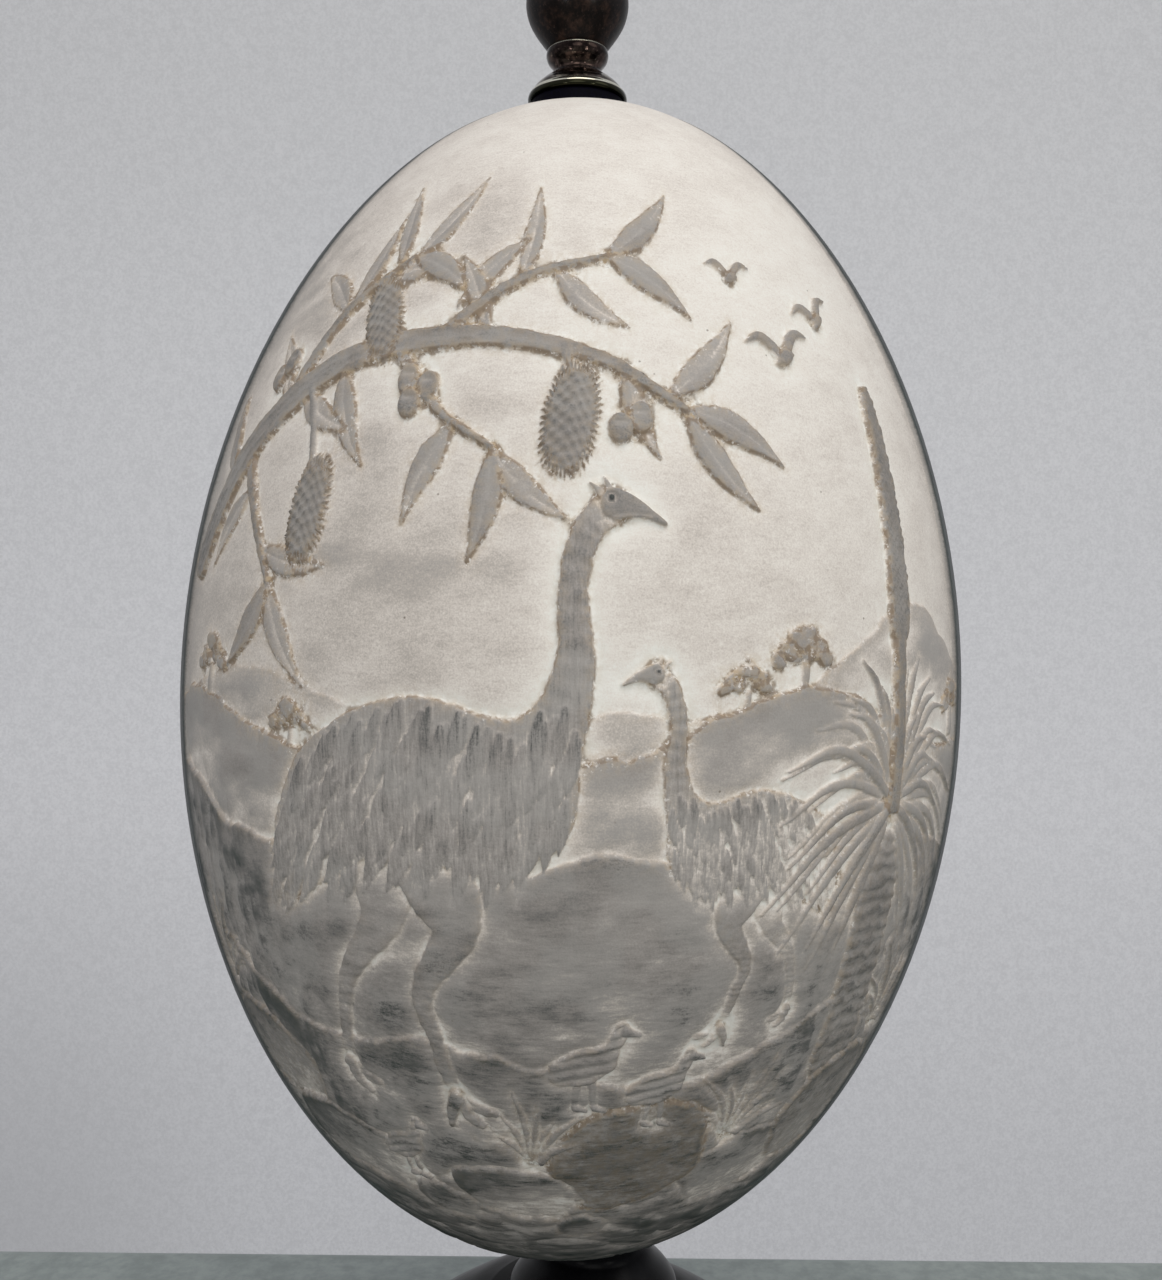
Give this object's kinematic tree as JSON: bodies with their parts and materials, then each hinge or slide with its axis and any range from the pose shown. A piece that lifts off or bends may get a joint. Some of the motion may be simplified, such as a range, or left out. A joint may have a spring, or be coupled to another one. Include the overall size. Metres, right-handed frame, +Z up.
{
  "type": "carved emu egg on stand",
  "caption": "Upright carved eggshell with a sunk pictorial front and a dark natural back, on a low turned base with a collar, ferrule and finial.",
  "frame": {"origin": "centre of the base's underside, on the stand's axis at floor level", "axes": "+Z up along the stand's axis, -Y out of the carved front, +X to the viewer's right"},
  "size_m": [0.089, 0.0883, 0.1846],
  "materials": {
    "ebonised_wood": "black satin lacquer on turned wood",
    "eggshell": "matte carved eggshell: cream field, grey relief, dark green skin on the back",
    "black_washer": "matte black",
    "tarnished_metal": "polished and darkly tarnished plate, bright on the edges",
    "dark_wood": "dark brown polished wood"
  },
  "bodies": {
    "root": {"stand_base": "ebonised_wood", "stand_collar": "ebonised_wood", "egg": "eggshell", "washer": "black_washer", "ferrule": "tarnished_metal", "finial": "dark_wood"}
  },
  "joints": []
}
